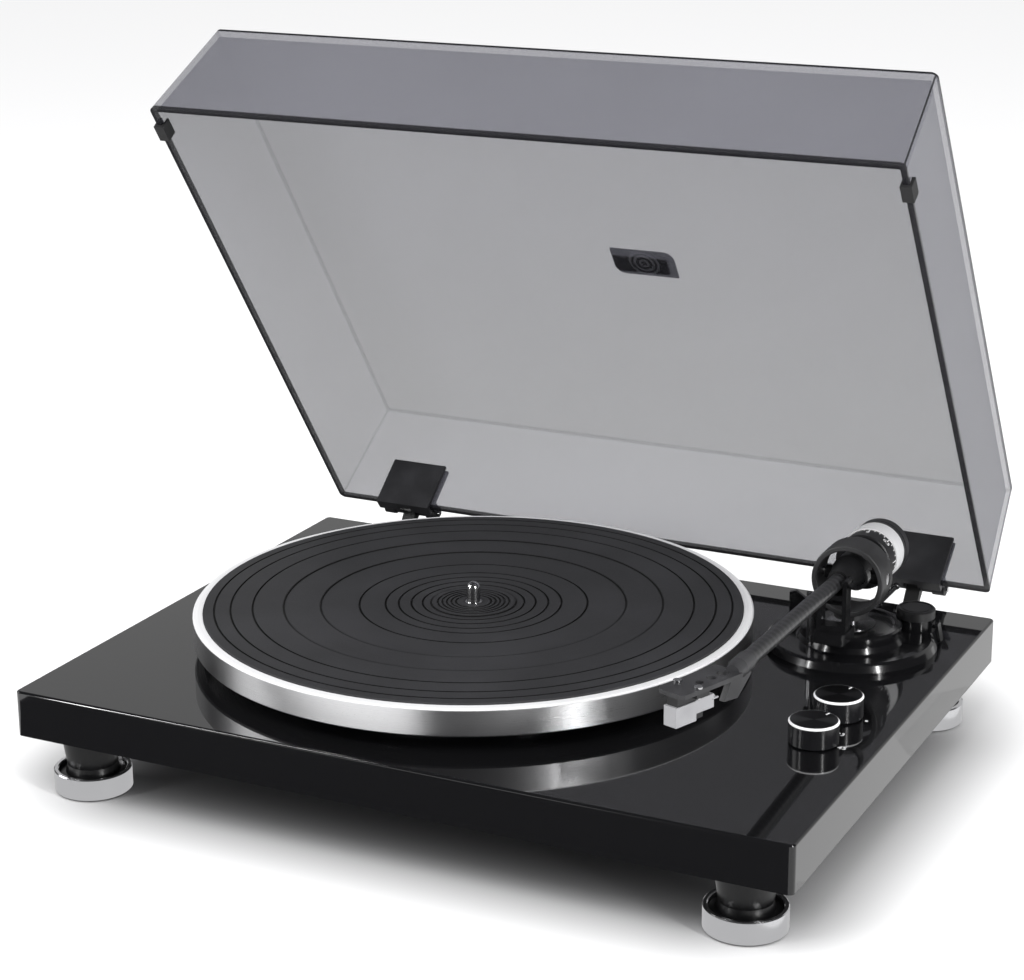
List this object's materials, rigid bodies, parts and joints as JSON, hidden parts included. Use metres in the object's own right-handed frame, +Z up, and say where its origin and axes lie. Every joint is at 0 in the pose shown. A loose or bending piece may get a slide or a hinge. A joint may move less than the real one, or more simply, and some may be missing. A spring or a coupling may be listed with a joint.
{
  "type": "record player",
  "caption": "Belt-drive record player: gloss plinth on round feet, platter with mat, straight counterweighted arm, two knobs and a hinged tinted cover.",
  "frame": {"origin": "on the surface under the feet, below the middle of the whole object with its cover open", "axes": "+X to the right seen from the front, +Y to the back, +Z up"},
  "size_m": [0.42, 0.377, 0.3679],
  "materials": {
    "plinth_lacquer": "high gloss black lacquer",
    "case_plastic": "fine texture",
    "foot_plastic": "satin",
    "foot_chrome": "polished",
    "pad_rubber": "matte",
    "platter_aluminium": "lathe turned",
    "mat_rubber": "matte, grooved",
    "bright_steel": "turned",
    "bush_brass": "turned",
    "motor_steel": "plain",
    "pulley_aluminium": "turned",
    "belt_rubber": "matte",
    "board_green": "solder mask",
    "component_black": "moulded",
    "knob_black": "satin",
    "knob_cap": "spun, dark anodised",
    "socket_black": "moulded",
    "socket_gold": "gold plated",
    "arm_base_black": "gloss black",
    "housing_grey": "anodised",
    "moulded_black": "fine texture",
    "cue_metal": "black anodised",
    "lever_metal": "dark chrome",
    "gimbal_black": "satin black",
    "screw_chrome": "polished",
    "hub_black": "satin black",
    "tube_black": "woven fibre, satin",
    "dial_black": "satin with plain numbers",
    "band_silver": "turned",
    "weight_black": "satin black",
    "shell_grey": "fine texture",
    "cartridge_grey": "satin",
    "cartridge_black": "moulded",
    "cover_tint": "smoked, clear",
    "badge_black": "gloss",
    "hinge_black": "satin",
    "bracket_black": "satin black",
    "screw_steel": "zinc"
  },
  "bodies": {
    "case": {"plinth": "plinth_lacquer", "bottom_cover": "case_plastic", "foot_stems": "foot_plastic", "foot_rings": "foot_chrome", "foot_pads": "pad_rubber", "spindle_bush": "bush_brass", "thrust_ball": "bright_steel", "motor_plate": "motor_steel", "motor": "motor_steel", "drive_belt": "belt_rubber", "circuit_board": "board_green", "board_posts": "bush_brass", "board_components": "component_black", "switch_bodies": "component_black", "socket_plate": "socket_black", "phono_sockets": "socket_gold", "power_inlet": "socket_black", "arm_base": "arm_base_black", "arm_bearing_housing": "housing_grey", "arm_bearings": "bright_steel", "armrest_post": "moulded_black", "cue_housing": "cue_metal", "hinge_brackets": "bracket_black", "hinge_washers": "hinge_black", "case_screws": "screw_steel"},
    "lid": {"dust_cover": "cover_tint", "cover_badge": "badge_black", "badge_rings": "screw_chrome", "cover_bumpers": "pad_rubber", "hinge_clips": "hinge_black", "hinge_pins": "screw_chrome"},
    "platter": {"platter": "platter_aluminium", "slipmat": "mat_rubber", "spindle": "bright_steel"},
    "pulley": {"motor_pulley": "pulley_aluminium", "motor_shaft": "bright_steel"},
    "arm_yoke": {"gimbal_ring": "gimbal_black", "pivot_screws": "screw_chrome", "swing_shaft": "bright_steel"},
    "tonearm": {"arm_hub": "hub_black", "arm_tube": "tube_black", "weight_stub": "pulley_aluminium", "headshell": "shell_grey", "headshell_screws": "screw_steel", "cartridge_mount": "cartridge_black", "cartridge_body": "cartridge_grey", "stylus": "cartridge_black"},
    "weight_carrier": {"weight_sleeve": "moulded_black"},
    "counterweight": {"counterweight": "weight_black", "weight_band": "band_silver"},
    "force_dial": {"force_dial": "dial_black"},
    "cue_lever": {"cue_lever": "lever_metal"},
    "cue_lift": {"cue_lift": "cue_metal"},
    "lock_lever": {"lock_lever": "moulded_black"},
    "armrest_clip": {"armrest_clip": "moulded_black"},
    "anti_skate_knob": {"anti_skate_knob": "moulded_black"},
    "front_knob": {"front_knob": "knob_black", "front_knob_cap": "knob_cap"},
    "back_knob": {"back_knob": "knob_black", "back_knob_cap": "knob_cap"}
  },
  "joints": [
    {"name": "lid_hinge", "type": "hinge", "parent": "case", "child": "lid", "pos_m": [0, 0.14421, 0.0629], "axis": [-1, 0, 0], "range_deg": [-54.9, 5]},
    {"name": "platter_spin", "type": "hinge", "parent": "case", "child": "platter", "pos_m": [-0.0307, -0.02559, 0.0791], "axis": [0, 0, 1], "continuous": true},
    {"name": "pulley_spin", "type": "hinge", "parent": "case", "child": "pulley", "pos_m": [-0.11414, 0.05499, 0.0683], "axis": [0, 0, 1], "continuous": true},
    {"name": "arm_swing", "type": "hinge", "parent": "case", "child": "arm_yoke", "pos_m": [0.1522, 0.05451, 0.0703], "axis": [0, 0, -1], "range_deg": [0, 40]},
    {"name": "arm_tilt", "type": "hinge", "parent": "arm_yoke", "child": "tonearm", "pos_m": [0.1522, 0.05451, 0.0963], "axis": [-0.9998, -0.0209, 0], "range_deg": [0, 7]},
    {"name": "weight_slide", "type": "slide", "parent": "tonearm", "child": "weight_carrier", "axis": [-0.0209, 0.999, -0.0401], "range_m": [-0.0015, 0.0015]},
    {"name": "weight_turn", "type": "hinge", "parent": "weight_carrier", "child": "counterweight", "pos_m": [0.1522, 0.05451, 0.0984], "axis": [-0.0209, 0.999, -0.0401], "range_deg": [-360, 360]},
    {"name": "dial_turn", "type": "hinge", "parent": "counterweight", "child": "force_dial", "pos_m": [0.1522, 0.05451, 0.0984], "axis": [-0.0209, 0.999, -0.0401], "range_deg": [-180, 180]},
    {"name": "cue_lever_tilt", "type": "hinge", "parent": "case", "child": "cue_lever", "pos_m": [0.1549, 0.08471, 0.0678], "axis": [-0.878, 0.4787, 0], "range_deg": [0, 38]},
    {"name": "cue_lift_rise", "type": "slide", "parent": "case", "child": "cue_lift", "axis": [0, 0, 1], "range_m": [0, 0.0046]},
    {"name": "lock_lever_tilt", "type": "hinge", "parent": "case", "child": "lock_lever", "pos_m": [0.1915, 0.07911, 0.0649], "axis": [1, 0, 0], "range_deg": [-20, 20]},
    {"name": "armrest_clip_turn", "type": "hinge", "parent": "case", "child": "armrest_clip", "pos_m": [0.15955, 0.02366, 0.10294], "axis": [0.0209, -0.9998, 0], "range_deg": [0, 140]},
    {"name": "anti_skate_turn", "type": "hinge", "parent": "case", "child": "anti_skate_knob", "pos_m": [0.1796, 0.08031, 0.0683], "axis": [0, 0, 1], "range_deg": [-135, 135]},
    {"name": "front_knob_turn", "type": "hinge", "parent": "case", "child": "front_knob", "pos_m": [0.1785, -0.07609, 0.0623], "axis": [0, 0, 1], "range_deg": [-40, 40]},
    {"name": "back_knob_turn", "type": "hinge", "parent": "case", "child": "back_knob", "pos_m": [0.1785, -0.04019, 0.0623], "axis": [0, 0, 1], "range_deg": [-150, 150]}
  ],
  "couplings": [
    {"joint": "pulley_spin", "follows": "platter_spin", "ratio": 14.194},
    {"joint": "weight_slide", "follows": "weight_turn", "m_per_rad": 0.00023873},
    {"joint": "cue_lift_rise", "follows": "cue_lever_tilt", "m_per_rad": 0.0069358}
  ]
}
